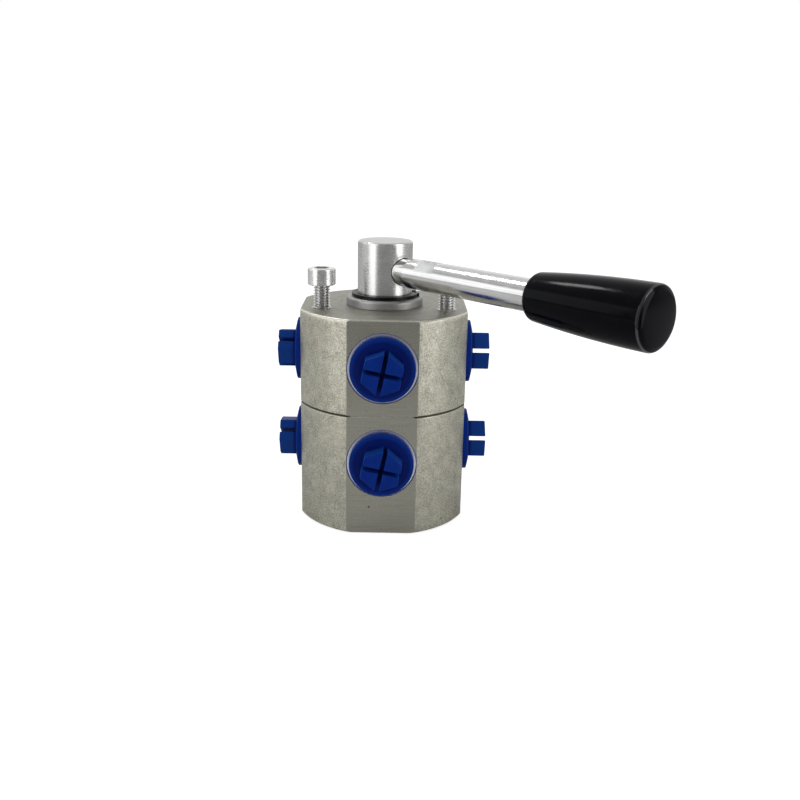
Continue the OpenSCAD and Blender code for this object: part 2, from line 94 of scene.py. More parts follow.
# Screws and pins in the housing
TIE_PLACES = ring_places(25.0 * MM, (45, 135, 225, 315))
TIE_HEAD_HOLE_R = 5.5 * MM
TIE_CLEAR_R = 3.3 * MM
TIE_TAP_R = 3.05 * MM
TIE_SINK = 7.0 * MM
TIE_HOLE_TOP = 59.0 * MM
TIE_L = 50.0 * MM
MOUNT_RING = 24.0 * MM
MOUNT_PLACES = ring_places(MOUNT_RING, (90, 200, 340))
MOUNT_HOLE_R = 3.05 * MM
MOUNT_HOLE_RIM_R = 3.5 * MM
MOUNT_HOLE_DEPTH = 8.0 * MM
MOUNT_L = 16.0 * MM
SCREW_R = 3.0 * MM
SCREW_PITCH = 1.0 * MM
SCREW_ROOT_R = SCREW_R - 0.61 * SCREW_PITCH
SCREW_HEAD_R = 5.0 * MM
SCREW_HEAD_H = 6.0 * MM
SCREW_EDGE = 0.65 * MM
SCREW_FOOT = 0.25 * MM
SHANK_IN_HEAD = 0.3 * MM
SOCKET_R = 5.0 * MM / 2 / math.cos(math.radians(30))
MOUNT_HEAD_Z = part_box("mounting_screws")[1].z - SCREW_HEAD_H
DOWEL_R = 2.05 * MM
DOWEL_X = 23.0 * MM
DOWEL_HALF = 5.3 * MM

# First turn of a screw's socket and the step to the next, in degrees
TIE_SPIN = (11, 37)
MOUNT_SPIN = (17, 47)

# The cone that breaks the socket's edge, from the socket's radius and the head's top
SOCKET_CONE_TIP = -0.5 * MM
SOCKET_CONE_LOW = (-0.4 * MM, -0.2 * MM)
SOCKET_CONE_HIGH = (0.9 * MM, 1.1 * MM)

# Stop pocket in the lower body, whose angles are in degrees
SWING = 43
LEVER_TURN = SWING - 90
STOP_SIDE = 8.6
POCKET_IN_R = 2.0 * MM
POCKET_R = 15.3 * MM
POCKET_TOP = 13.3 * MM

# Rotor and shaft
SPOOL_R = 12.0 * MM
SHAFT_R = 10.0 * MM
SHAFT_EDGE = 0.7 * MM
SPOOL_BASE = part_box("rotor")[0].z
SPOOL_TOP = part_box("top_washer")[0].z
SHAFT_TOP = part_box("rotor")[1].z
SEAL_W = 2.6 * MM
SEAL_DEPTH = 1.8 * MM
SEAL_FROM_PASSAGE = 1.8 * MM
SEAL_FROM_TOP = 0.7 * MM
FLOW_DEPTH = 4.5 * MM
FLOW_SPAN = 86
BALL_HOLE_R = 2.55 * MM
BALL_RING = 5.5 * MM
BALL_HOLE_TOP = 20.25 * MM
PIN_HOLE_R = 1.55 * MM
PIN_INNER = 4.45 * MM
PIN_Z = 11.5 * MM

# Gland ring with its seal grooves, and circlip
COLLAR_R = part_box("gland_ring")[1].x
COLLAR_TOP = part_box("gland_ring")[1].z
COLLAR_ROUND = 1.0 * MM
COLLAR_FOOT = 0.15 * MM
GLAND_R = 13.0 * MM
GLAND_SEAL_LOW = GLAND_BASE + 0.8 * MM
GLAND_SEAL_HIGH = GLAND_BASE + 2.8 * MM
GLAND_SEAL_R = GLAND_R - 1.3 * MM
SHAFT_BORE_R = 10.03 * MM
SHAFT_SEAL_LOW = TOP_Z - 2.7 * MM
SHAFT_SEAL_HIGH = TOP_Z - 0.3 * MM
SHAFT_SEAL_R = SHAFT_BORE_R + 1.6 * MM
WIPER_LOW = COLLAR_TOP - 2.2 * MM
WIPER_R = SHAFT_BORE_R + 1.5 * MM
CIRCLIP_T = 1.2 * MM
CIRCLIP_IN_R = 9.45 * MM
CIRCLIP_OUT_R = 12.1 * MM
CIRCLIP_LUG_R = 1.5 * MM
CIRCLIP_HOLE_R = 0.6 * MM
CIRCLIP_GAP = 3.0 * MM
CIRCLIP_LUG_X = CIRCLIP_OUT_R - CIRCLIP_LUG_R * 0.8
CIRCLIP_LUG_Y = CIRCLIP_GAP / 2 + CIRCLIP_LUG_R * 0.9
CIRCLIP_EDGE = 0.12 * MM
CIRCLIP_GROOVE = 0.6 * MM
CIRCLIP_TURN = 12

# Lever
LEVER_Z = TOP_Z + 13.0 * MM
ROD_R = 5.35 * MM
ROD_TIP = 0.4 * MM
ROD_THREAD_R = 5.0 * MM
ROD_THREAD_START = -5.5 * MM
ROD_THREAD_END = 8.0 * MM
NECK_R = 4.8 * MM
NECK_END = 14.0 * MM
NECK_SHOULDER = 0.3 * MM
WRENCH_HALF = 4.5 * MM
WRENCH_START = 20.0 * MM
WRENCH_END = WRENCH_START + 8.5 * MM
WRENCH_TURN = 33
WRENCH_EDGE = 0.2 * MM
KNOB_START = 70.2 * MM
KNOB_THREAD_R = 4.0 * MM
KNOB_THREAD_L = 24.0 * MM
KNOB_L = 44.4 * MM
KNOB_START_R = 7.95 * MM
KNOB_END_R = 10.1 * MM
KNOB_START_ROUND = 2.4 * MM
KNOB_END_ROUND = 1.1 * MM
KNOB_DOME = 1.0 * MM
KNOB_DOME_ANGLE = 75

# Shipping plugs
FLANGE_R = 11.5 * MM
FLANGE_RIM = 2.5 * MM
FLANGE_CONE = 0.7 * MM
PLUG_HUB = FLANGE_RIM + FLANGE_CONE
PLUG_EDGE = 0.35 * MM
HEX_R = 7.74 * MM
HEX_H = 6.2 * MM
HEX_FOOT = (0.6 * MM, 0.05 * MM)
HEX_SUNK = 0.5 * MM
SLOT_W = 1.5 * MM
BARREL_R = 8.03 * MM
BARREL_L = 8.0 * MM
BARREL_WALL = 1.8 * MM
BARREL_TIP = 0.3 * MM

# Azimuth of each side's plugs, and turns of the upper and the lower one's slots, in degrees
PLUG_TURNS = {
    "front": (270, 79, 78),
    "right": (0, -13.5, -18.7),
    "back": (90, 20, 40),
    "left": (180, 130, 126),
}


def turning(degrees, axis="Z"):
    return Matrix.Rotation(math.radians(degrees), 4, axis)


def moving(x, y, z=0):
    return Matrix.Translation((x, y, z))


# Camera and light
def add_camera():
    """The photograph's camera, solved from the outline of the housing."""
    focal_px = 953.93
    frame_px = 800
    yaw = 0.366
    pitch = 16.51
    roll = 1.134
    standpoint = (0.00416, -0.34811, 0.14466)
    data = bpy.data.cameras.new("camera")
    data.sensor_width = 36.0
    data.lens = data.sensor_width * focal_px / frame_px
    data.clip_start = 0.01
    camera = bpy.data.objects.new("camera", data)
    turn = turning(-yaw) @ turning(90 - pitch, "X") @ turning(roll)
    camera.matrix_world = moving(*standpoint) @ turn
    bpy.context.scene.collection.objects.link(camera)
    bpy.context.scene.camera = camera


def add_lamp(name, azimuth, elevation, width, height, watts):
    """A lamp that looks at the object: azimuth 0 from the photograph's side, 90 from the right."""
    data = bpy.data.lights.new(name, "AREA")
    data.shape = "RECTANGLE"
    data.size = width
    data.size_y = height
    data.energy = watts
    lamp = bpy.data.objects.new(name, data)
    turn = math.radians(azimuth)
    lift = math.radians(elevation)
    level = math.cos(lift)
    away = Vector((math.sin(turn) * level, -math.cos(turn) * level, math.sin(lift)))
    aim = Vector((0.01, 0, 0.05))
    distance = 0.9
    lamp.location = aim + away * distance
    lamp.rotation_euler = away.to_track_quat("Z", "Y").to_euler()
    bpy.context.scene.collection.objects.link(lamp)


def add_world(front, back):
    """Room light, dim in front and low down; plain white where the camera sees it."""
    world = bpy.data.worlds.new("studio")
    world.use_nodes = True
    tree = world.node_tree
    tree.nodes.clear()
    light = tree.nodes.new("ShaderNodeBackground")
    light.inputs["Color"].default_value = grey(1)
    direction = parts_of(tree, tree.nodes.new("ShaderNodeTexCoord").outputs["Generated"])
    depth = ramp(tree, direction[1], -0.6, 0.8, front, back)
    lift = ramp(tree, direction[2], 0.0, 0.7, 0.8, 1.0)
    tree.links.new(times(tree, depth, lift), light.inputs["Strength"])
    seen = tree.nodes.new("ShaderNodeBackground")
    seen.inputs["Color"].default_value = grey(1)
    rays = tree.nodes.new("ShaderNodeLightPath").outputs
    straight = larger(tree, rays["Is Camera Ray"], rays["Is Transmission Ray"])
    backdrop = ramp(tree, direction[1], 0.7, 1.0)
    mirrored = times(tree, rays["Is Glossy Ray"], backdrop)
    mix = tree.nodes.new("ShaderNodeMixShader")
    tree.links.new(larger(tree, straight, mirrored), mix.inputs[0])
    tree.links.new(light.outputs[0], mix.inputs[1])
    tree.links.new(seen.outputs[0], mix.inputs[2])
    output = tree.nodes.new("ShaderNodeOutputWorld")
    tree.links.new(mix.outputs[0], output.inputs["Surface"])
    bpy.context.scene.world = world


def add_floor(glow):
    """White paper that ends a little in front of the object, as on a table."""
    width = 6
    front_edge = -0.25
    back_edge = 3.0
    below_base = 0.2 * MM
    clear_selection()
    middle = (0, (front_edge + back_edge) / 2, -below_base)
    bpy.ops.mesh.primitive_plane_add(size=1, location=middle)
    floor = bpy.context.object
    floor.name = "floor"
    floor.scale = (width, back_edge - front_edge, 1)
    bpy.ops.object.transform_apply(location=True, rotation=True, scale=True)
    material = bpy.data.materials.new("floor_paper")
    material.use_nodes = True
    tree = material.node_tree
    paper = tree.nodes["Principled BSDF"].inputs
    paper["Base Color"].default_value = grey(0.66)
    paper["Roughness"].default_value = 0.9
    paper["Emission Color"].default_value = grey(1)
    rays = tree.nodes.new("ShaderNodeLightPath").outputs
    tree.links.new(times(tree, rays["Is Camera Ray"], glow), paper["Emission Strength"])
    floor.data.materials.append(material)


# Modelling helpers
def clear_selection():
    if bpy.context.mode != "OBJECT":
        bpy.ops.object.mode_set(mode="OBJECT")
    bpy.ops.object.select_all(action="DESELECT")


def make_active(piece):
    clear_selection()
    piece.select_set(True)
    bpy.context.view_layer.objects.active = piece


def edit_whole(piece):
    """Edit mode with everything selected."""
    make_active(piece)
    bpy.ops.object.mode_set(mode="EDIT")
    bpy.ops.mesh.select_all(action="SELECT")


def end_edit():
    bpy.ops.object.mode_set(mode="OBJECT")


def apply_modifier(piece, name, kind, **settings):
    make_active(piece)
    modifier = piece.modifiers.new(name, kind)
    for key, value in settings.items():
        setattr(modifier, key, value)
    bpy.ops.object.modifier_apply(modifier=modifier.name)


def place(piece, matrix):
    """Moves the piece's mesh and leaves the piece itself at the origin."""
    make_active(piece)
    piece.matrix_world = matrix
    bpy.ops.object.transform_apply(location=True, rotation=True, scale=True)


def copied(piece, name, matrix):
    """A copy with its own mesh, at its own place."""
    make_active(piece)
    bpy.ops.object.duplicate(linked=False)
    copy = bpy.context.object
    copy.name = name
    place(copy, matrix)
    return copy


def remove(piece):
    mesh = piece.data
    bpy.data.objects.remove(piece)
    bpy.data.meshes.remove(mesh)


def joined(pieces):
    clear_selection()
    for piece in pieces:
        piece.select_set(True)
    bpy.context.view_layer.objects.active = pieces[0]
    if len(pieces) > 1:
        bpy.ops.object.join()
    return pieces[0]


def combine(piece, operation, other):
    apply_modifier(piece, "combine", "BOOLEAN", operation=operation, solver="EXACT", object=other)
    remove(other)


def carve(piece, cutters):
    """Takes the cutters' shapes out of the piece."""
    combine(piece, "DIFFERENCE", joined(cutters))


def fuse(piece, other):
    combine(piece, "UNION", other)


def slice_off(piece, point, outward):
    """Cuts off what lies beyond a plane and closes the cut."""
    edit_whole(piece)
    bpy.ops.mesh.bisect(plane_co=point, plane_no=outward, use_fill=True, clear_outer=True)
    end_edit()


def soften(piece, width, segments=2, angle=25):
    """Rounds the edges that are sharper than the angle."""
    apply_modifier(
        piece, "soft edges", "BEVEL", width=width, segments=segments,
        limit_method="ANGLE", angle_limit=math.radians(angle),
    )


def smooth(piece, angle=35):
    """Smooth shading up to the angle between faces."""
    make_active(piece)
    bpy.ops.object.shade_smooth_by_angle(angle=math.radians(angle))
    apply_modifier(piece, "even shading", "WEIGHTED_NORMAL", keep_sharp=True)


def finish_piece(piece, material, body, node):
    """Gives the piece its finish and its body, and hides the CAD node that it stands in for."""
    piece.data.materials.clear()
    piece.data.materials.append(material)
    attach(piece, body)
    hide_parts(node)


# Outlines hold (radius, height) points
def arc(centre_r, centre_z, radius, start, end, steps=4):
    """Points of a rounding, from one angle to another, in degrees from the outward axis."""
    angles = [math.radians(start + (end - start) * i / steps) for i in range(steps + 1)]
    return [(centre_r + radius * math.cos(a), centre_z + radius * math.sin(a)) for a in angles]


def tube(inner, outer, low, high):
    """Outline of a plain ring, or of a plain cylinder where the inner radius is 0."""
    return [(inner, low), (outer, low), (outer, high), (inner, high)]


def closed(outline):
    """The outline of a ring, brought back to its first point."""
    return outline + outline[:1]


# Basic shapes
def lone_point(name):
    """A piece with a single point at the origin, left in edit mode."""
    clear_selection()
    bpy.ops.mesh.primitive_plane_add(size=0.01, location=(0, 0, 0))
    piece = bpy.context.object
    piece.name = name
    edit_whole(piece)
    bpy.ops.mesh.merge(type="CENTER")
    return piece


def draw_on(step):
    """Draws a line from the last point."""
    bpy.ops.mesh.extrude_vertices_move(TRANSFORM_OT_translate={"value": step})


def turned(name, outline, steps=96, span=360, start=0):
    """A solid of revolution about the Z axis, whole or from a start angle over a span."""
    piece = lone_point(name)
    last_r, last_z = outline[0]
    bpy.ops.transform.translate(value=(last_r, 0, last_z))
    for radius, height in outline[1:]:
        draw_on((radius - last_r, 0, height - last_z))
        last_r, last_z = radius, height
    bpy.ops.mesh.select_all(action="SELECT")
    if span < 360:
        bpy.ops.mesh.edge_face_add()
    bpy.ops.mesh.spin(steps=steps, angle=math.radians(span), center=(0, 0, 0), axis=(0, 0, 1))
    bpy.ops.mesh.select_all(action="SELECT")
    bpy.ops.mesh.remove_doubles(threshold=WELD)
    bpy.ops.mesh.normals_make_consistent(inside=False)
    end_edit()
    if start:
        place(piece, turning(start))
    return piece


def placed(name, outline, matrix, steps):
    """A turned shape at its place."""
    piece = turned(name, outline, steps)
    place(piece, matrix)
    return piece


def box_block(low, high):
    """A cutter block between two corners."""
    clear_selection()
    middle = [(a + b) / 2 for a, b in zip(low, high)]
    bpy.ops.mesh.primitive_cube_add(size=1, location=middle)
    block = bpy.context.object
    block.scale = [b - a for a, b in zip(low, high)]
    bpy.ops.object.transform_apply(location=True, rotation=True, scale=True)
    return block


def hexagon(radius, low, high):
    """A hexagonal bar on the Z axis."""
    clear_selection()
    middle = (0, 0, (low + high) / 2)
    bpy.ops.mesh.primitive_cylinder_add(
        vertices=6, radius=radius, depth=high - low, location=middle,
    )
    piece = bpy.context.object
    place(piece, moving(*middle) @ turning(-30))
    return piece


# Shader helpers
def grey(value):
    return (value, value, value, 1)


def rgb(red, green, blue):
    return (red, green, blue, 1)


def toned(colour, factor, lift=0.0):
    """The colour made darker or paler."""
    return tuple(min(1, part * factor + lift) for part in colour) + (1,)


def new_group(name, inputs, output):
    """A node group that takes a place and some numbers and puts out one number."""
    group = bpy.data.node_groups.new(name, "ShaderNodeTree")
    group.interface.new_socket("Vector", in_out="INPUT", socket_type="NodeSocketVector")
    for socket in inputs:
        group.interface.new_socket(socket, in_out="INPUT", socket_type="NodeSocketFloat")
    group.interface.new_socket(output, in_out="OUTPUT", socket_type="NodeSocketFloat")
    start = group.nodes.new("NodeGroupInput").outputs
    end = group.nodes.new("NodeGroupOutput").inputs[output]
    return group, start, end


def feed(tree, value, socket):
    """Links an output to a socket, or sets the socket's value."""
    if isinstance(value, bpy.types.NodeSocket):
        tree.links.new(value, socket)
    else:
        socket.default_value = value


def math_node(tree, operation, first, second=0.0, third=0.0):
    node = tree.nodes.new("ShaderNodeMath")
    node.operation = operation
    for socket, value in zip(node.inputs, (first, second, third)):
        feed(tree, value, socket)
    return node.outputs[0]


def times(tree, first, *others):
    """All the values multiplied."""
    for other in others:
        first = math_node(tree, "MULTIPLY", first, other)
    return first


def larger(tree, first, second):
    return math_node(tree, "MAXIMUM", first, second)


def size_of(tree, value):
    return math_node(tree, "ABSOLUTE", value)


def rest_of(tree, mask):
    """What a mask leaves out."""
    return math_node(tree, "SUBTRACT", 1.0, mask)


def across(tree, first, second):
    """Distance from an axis, from the two coordinates that cross it."""
    square = math_node(tree, "MULTIPLY_ADD", first, first, times(tree, second, second))
    return math_node(tree, "SQRT", square)


def parts_of(tree, vector):
    """A vector's X, Y and Z."""
    node = tree.nodes.new("ShaderNodeSeparateXYZ")
    tree.links.new(vector, node.inputs[0])
    return node.outputs


def vector_math(tree, operation, vector, other):
    node = tree.nodes.new("ShaderNodeVectorMath")
    node.operation = operation
    feed(tree, vector, node.inputs[0])
    feed(tree, other, node.inputs[1])
    return node.outputs


def noise_of(tree, vector, scale, detail=2.0, roughness=0.5):
    node = tree.nodes.new("ShaderNodeTexNoise")
    node.inputs["Detail"].default_value = detail
    node.inputs["Roughness"].default_value = roughness
    feed(tree, vector, node.inputs["Vector"])
    feed(tree, scale, node.inputs["Scale"])
    return node.outputs[0]


def ramp(tree, value, low, high, out_low=0.0, out_high=1.0):
    """Takes low..high of a value to out_low..out_high, softly and without overrun."""
    node = tree.nodes.new("ShaderNodeMapRange")
    node.interpolation_type = "SMOOTHSTEP"
    for socket, number in zip(node.inputs, (value, low, high, out_low, out_high)):
        feed(tree, number, socket)
    return node.outputs[0]


def blend(tree, factor, first, second):
    node = tree.nodes.new("ShaderNodeMix")
    node.data_type = "RGBA"
    for index, value in ((0, factor), (6, first), (7, second)):
        feed(tree, value, node.inputs[index])
    return node.outputs[2]


def use_group(tree, group, **values):
    node = tree.nodes.new("ShaderNodeGroup")
    node.node_tree = group
    for name, value in values.items():
        feed(tree, value, node.inputs[name])
    return node.outputs[0]


def mottle_group():
    """Cloudy variation at a given scale, from 0 to 1."""
    group, start, end = new_group("mottle", ("Scale", "Contrast"), "Value")
    noise = noise_of(group, start["Vector"], start["Scale"], 3.0, 0.6)
    low = math_node(group, "SUBTRACT", 0.5, start["Contrast"])
    high = math_node(group, "ADD", 0.5, start["Contrast"])
    group.links.new(ramp(group, noise, low, high), end)
    return group


def rings_group():
    """Fine tool marks that run round an axis: they vary with radius and height only."""
    group, start, end = new_group("tool rings", ("Scale",), "Value")
    xyz = parts_of(group, start["Vector"])
    profile = group.nodes.new("ShaderNodeCombineXYZ")
    group.links.new(across(group, xyz[1], xyz[0]), profile.inputs[0])
    group.links.new(xyz[2], profile.inputs[2])
    noise = noise_of(group, profile.outputs[0], start["Scale"])
    group.links.new(ramp(group, noise, 0.3, 0.7), end)
    return group


def marks_group():
    """Fine straight marks along the X axis of the given vector."""
    group, start, end = new_group("straight marks", ("Scale",), "Value")
    stretched = vector_math(group, "MULTIPLY", start["Vector"], (0.03, 1, 1))[0]
    noise = noise_of(group, stretched, start["Scale"])
    group.links.new(ramp(group, noise, 0.3, 0.7), end)
    return group


def wear_group():
    """Mask of the edges that handling brightens, broken up by a cloudy variation; the plugs use it
    for a painted highlight as well.
    """
    group, start, end = new_group("edge wear", ("Radius", "Gain"), "Mask")
    rounded = group.nodes.new("ShaderNodeBevel")
    rounded.samples = 4
    group.links.new(start["Radius"], rounded.inputs["Radius"])
    true_normal = group.nodes.new("ShaderNodeNewGeometry").outputs["Normal"]
    likeness = vector_math(group, "DOT_PRODUCT", rounded.outputs[0], true_normal)["Value"]
    edge = times(group, rest_of(group, likeness), start["Gain"])
    patches = ramp(group, noise_of(group, start["Vector"], 900.0), 0.35, 0.6, 0.3, 1.0)
    clamp = group.nodes.new("ShaderNodeClamp")
    group.links.new(times(group, edge, patches), clamp.inputs[0])
    group.links.new(clamp.outputs[0], end)
    return group


def specks_group():
    """Mask of small scattered spots."""
    group, start, end = new_group("specks", ("Scale", "Size"), "Mask")
    cells = group.nodes.new("ShaderNodeTexVoronoi")
    group.links.new(start["Vector"], cells.inputs["Vector"])
    group.links.new(start["Scale"], cells.inputs["Scale"])
    group.links.new(ramp(group, cells.outputs["Distance"], start["Size"], 0.0), end)
    return group


MOTTLE = mottle_group()
RINGS = rings_group()
MARKS = marks_group()
WEAR = wear_group()
SPECKS = specks_group()


def mottle(tree, spot, scale, contrast=0.3):
    return use_group(tree, MOTTLE, Vector=spot, Scale=scale, Contrast=contrast)


def wear(tree, spot, radius, gain):
    return use_group(tree, WEAR, Vector=spot, Radius=radius, Gain=gain)


# Masks by place
def around_port(tree, spot):
    """Distance from the nearest port's axis, reach along it, and 1 at the left and right ports."""
    xyz = parts_of(tree, spot)
    left_right = size_of(tree, xyz[0])
    front_back = size_of(tree, xyz[1])
    reach = larger(tree, left_right, front_back)
    sideways = math_node(tree, "MINIMUM", left_right, front_back)
    lower, upper = PORT_ROWS.values()
    from_middle = size_of(tree, math_node(tree, "SUBTRACT", xyz[2], (lower + upper) / 2))
    upright = math_node(tree, "SUBTRACT", from_middle, (upper - lower) / 2)
    at_side = math_node(tree, "GREATER_THAN", left_right, front_back)
    return across(tree, upright, sideways), reach, at_side


def milled_faces(tree, normal):
    """Masks of the four flats and of the top."""
    facing = parts_of(tree, normal)
    square_on = larger(tree, size_of(tree, facing[0]), size_of(tree, facing[1]))
    return ramp(tree, square_on, 0.985, 0.998), ramp(tree, facing[2], 0.8, 0.95)


def painted_top_edge_highlight(tree, xyz, flats, top, grain):
    """Mask of the upper edge's painted highlight: a soft band on the round sides and a line all
    round, where the rounded edge catches light from above.
    """
    band = ramp(tree, xyz[2], TOP_Z - 2.2 * MM, TOP_Z - 0.3 * MM)
    rounds = rest_of(tree, larger(tree, flats, top))
    band = times(tree, band, rounds, ramp(tree, grain, 0.0, 0.8, 0.3, 0.75))
    line = ramp(tree, xyz[2], TOP_Z - 0.75 * MM, TOP_Z - 0.35 * MM)
    return larger(tree, band, times(tree, line, rest_of(tree, top)))


def spot_rim_highlight(tree, spot):
    """Mask of the spot faces round the ports, painted pale all round as a highlight for the light
    that their rims catch.
    """
    radius, reach, _ = around_port(tree, spot)
    ring_end = SPOT_R + SPOT_RIM
    ring = ramp(tree, radius, ring_end + 0.02 * MM, ring_end - 0.05 * MM)
    return times(tree, ring, ramp(tree, reach, SPOT_FLOOR - 0.3 * MM, SPOT_FLOOR - 0.1 * MM))


def seam_painted_shade(tree, xyz, flats):
    """Mask of the painted shade in the groove between the two bodies, on the round sides."""
    from_seam = size_of(tree, math_node(tree, "SUBTRACT", xyz[2], SEAM_Z))
    groove = ramp(tree, from_seam, 0.9 * SEAM_CHAMFER, 0.6 * SEAM_CHAMFER, 0.0, 0.85)
    from_axis = across(tree, xyz[0], xyz[1])
    rounds = ramp(tree, from_axis, BODY_R - 0.75 * MM, BODY_R - 0.55 * MM)
    return times(tree, groove, rounds, rest_of(tree, flats))


def dark_specks(tree, spot):
    """Mask of scattered specks and of the two that show low on the front."""
    specks = use_group(tree, SPECKS, Vector=spot, Scale=110.0, Size=0.06)
    for centre in SPECK_PLACES:
        gap = vector_math(tree, "DISTANCE", spot, centre)["Value"]
        specks = larger(tree, specks, ramp(tree, gap, SPECK_R, 0.4 * SPECK_R))
    return times(tree, specks, 0.8)


def thread_root_shade(tree, spot):
    """Mask of the painted shade in the thread bottoms of the mounting screws."""
    flattened = vector_math(tree, "MULTIPLY", spot, (1, 1, 0))[0]
    nearest = MOUNT_RING
    for x, y in MOUNT_PLACES:
        gap = vector_math(tree, "DISTANCE", flattened, (x, y, 0))["Value"]
        nearest = math_node(tree, "MINIMUM", nearest, gap)
    below_head = ramp(tree, parts_of(tree, spot)[2], MOUNT_HEAD_Z, MOUNT_HEAD_Z - 0.1 * MM)
    return times(tree, below_head, ramp(tree, nearest, SCREW_R - 0.05 * MM, SCREW_R - 0.35 * MM))


def on_lever(tree, spot):
    """Coordinates with X along the lever, from the shaft's axis."""
    turn = tree.nodes.new("ShaderNodeMapping")
    turn.vector_type = "TEXTURE"
    turn.inputs["Location"].default_value = (0, 0, LEVER_Z)
    turn.inputs["Rotation"].default_value = (0, 0, math.radians(LEVER_TURN))
    tree.links.new(spot, turn.inputs["Vector"])
    return turn.outputs[0]


def ground_flats(tree, xyz):
    """Mask of the wrench flats on the rod."""
    ground = ramp(tree, across(tree, xyz[1], xyz[2]), ROD_R - 0.04 * MM, ROD_R - 0.12 * MM)
    past_start = ramp(tree, xyz[0], WRENCH_START, WRENCH_START + 0.3 * MM)
    before_end = ramp(tree, xyz[0], WRENCH_END, WRENCH_END - 0.3 * MM)
    return times(tree, ground, past_start, before_end)


# Finishes
FINE_RELIEF = 0.0006 * MM


def new_material(name, metallic, roughness):
    """A material, its nodes, its shader's inputs, and place and normal in the piece's own axes."""
    material = bpy.data.materials.new(name)
    material.use_nodes = True
    tree = material.node_tree
    surface = tree.nodes["Principled BSDF"].inputs
    surface["Metallic"].default_value = metallic
    surface["Roughness"].default_value = roughness
    coordinates = tree.nodes.new("ShaderNodeTexCoord").outputs
    return material, tree, surface, coordinates["Object"], coordinates["Normal"]


def finished(material, colour, rough, height, depth, strength=1.0):
    """The material with its colour, roughness and relief linked up."""
    tree = material.node_tree
    surface = tree.nodes["Principled BSDF"].inputs
    bump = tree.nodes.new("ShaderNodeBump")
    bump.inputs["Strength"].default_value = strength
    bump.inputs["Distance"].default_value = depth
    tree.links.new(height, bump.inputs["Height"])
    tree.links.new(bump.outputs[0], surface["Normal"])
    tree.links.new(colour, surface["Base Color"])
    tree.links.new(rough, surface["Roughness"])
    return material


def varied(tree, variation, roughness):
    """Roughness that varies a little about its usual value."""
    return ramp(tree, variation, 0.0, 1.0, roughness * 0.88, roughness * 1.14)


def body_metal():
    """Plated cast grey: blasted round sides, smoother milled flats and a top with turned marks."""
    material, tree, _, spot, normal = new_material("body_metal", 1.0, 0.45)
    xyz = parts_of(tree, spot)
    flats, top = milled_faces(tree, normal)
    grain = mottle(tree, spot, 2200.0, 0.22)
    marks = use_group(tree, MARKS, Vector=spot, Scale=2600.0)
    rings = use_group(tree, RINGS, Vector=spot, Scale=1500.0)
    fine = blend(tree, 0.35, grain, mottle(tree, spot, 260.0))
    blasted = blend(tree, fine, rgb(0.25, 0.246, 0.205), rgb(0.80, 0.78, 0.65))
    lined = blend(tree, 0.35, marks, grain)
    milled = blend(tree, lined, rgb(0.385, 0.378, 0.322), rgb(0.475, 0.466, 0.398))
    ringed = blend(tree, 0.55, rings, fine)
    faced = blend(tree, ringed, rgb(0.24, 0.236, 0.204), rgb(0.46, 0.452, 0.39))
    colour = blend(tree, flats, blasted, milled)
    colour = blend(tree, top, colour, faced)
    for mask, tint in (
        # painted highlight on the upper edge, in pale cream
        (painted_top_edge_highlight(tree, xyz, flats, top, grain), rgb(0.86, 0.84, 0.74)),
        (wear(tree, spot, 0.5 * MM, 4.0), rgb(0.90, 0.885, 0.80)),
        # painted highlight on the spot faces round the ports
        (spot_rim_highlight(tree, spot), rgb(0.90, 0.91, 0.94)),
        # painted shade in the groove between the two bodies
        (seam_painted_shade(tree, xyz, flats), rgb(0.10, 0.092, 0.07)),
        (dark_specks(tree, spot), rgb(0.05, 0.03, 0.02)),
    ):
        colour = blend(tree, mask, colour, tint)
    rough = ramp(tree, grain, 0.0, 1.0, 0.48, 0.3)
    rough = math_node(tree, "MULTIPLY_ADD", flats, -0.04, rough)
    rough = math_node(tree, "MULTIPLY_ADD", top, 0.1, rough)
    blasting = times(tree, grain, math_node(tree, "MULTIPLY_ADD", flats, -0.8, 1.0))
    cuts = math_node(tree, "ADD", times(tree, marks, flats, 0.15), times(tree, rings, top, 0.5))
    height = math_node(tree, "ADD", blasting, cuts)
    return finished(material, colour, rough, height, 0.04 * MM, 0.8)


def turned_steel(name, colour, roughness, ring_depth, scale=2500.0, tone=0.12, top_shade=0.0):
    """Turned metal with rings round the axis, a faint cloudy tone and painted shade on the faces
    that look up.
    """
    material, tree, _, spot, normal = new_material(name, 1.0, roughness)
    rings = use_group(tree, RINGS, Vector=spot, Scale=scale)
    mixed = blend(tree, 0.5, rings, mottle(tree, spot, 420.0))
    shade = blend(tree, mixed, toned(colour, 1 - tone), toned(colour, 1 + tone))
    shade = blend(tree, wear(tree, spot, 0.3 * MM, 2.5), shade, grey(0.85))
    # painted shade: faces that look up are darkened towards black by top_shade
    painted_top_shade = ramp(tree, parts_of(tree, normal)[2], 0.8, 0.95, 0.0, top_shade)
    shade = blend(tree, painted_top_shade, shade, grey(0.0))
    return finished(material, shade, varied(tree, mixed, roughness), rings, ring_depth)


def plain_metal(name, colour, roughness, threads=False):
    """Plated metal with a fine cloudy tone, and painted shade in the thread bottoms where it has
    threads.
    """
    material, tree, _, spot, _ = new_material(name, 1.0, roughness)
    cloud = mottle(tree, spot, 900.0, 0.25)
    shade = blend(tree, cloud, toned(colour, 0.95), toned(colour, 1.05))
    shade = blend(tree, wear(tree, spot, 0.25 * MM, 2.0), shade, toned(colour, 1.25, 0.04))
    if threads:
        # painted shade in the thread bottoms below the head
        shade = blend(tree, thread_root_shade(tree, spot), shade, grey(0.6))
    return finished(material, shade, varied(tree, cloud, roughness), cloud, FINE_RELIEF)


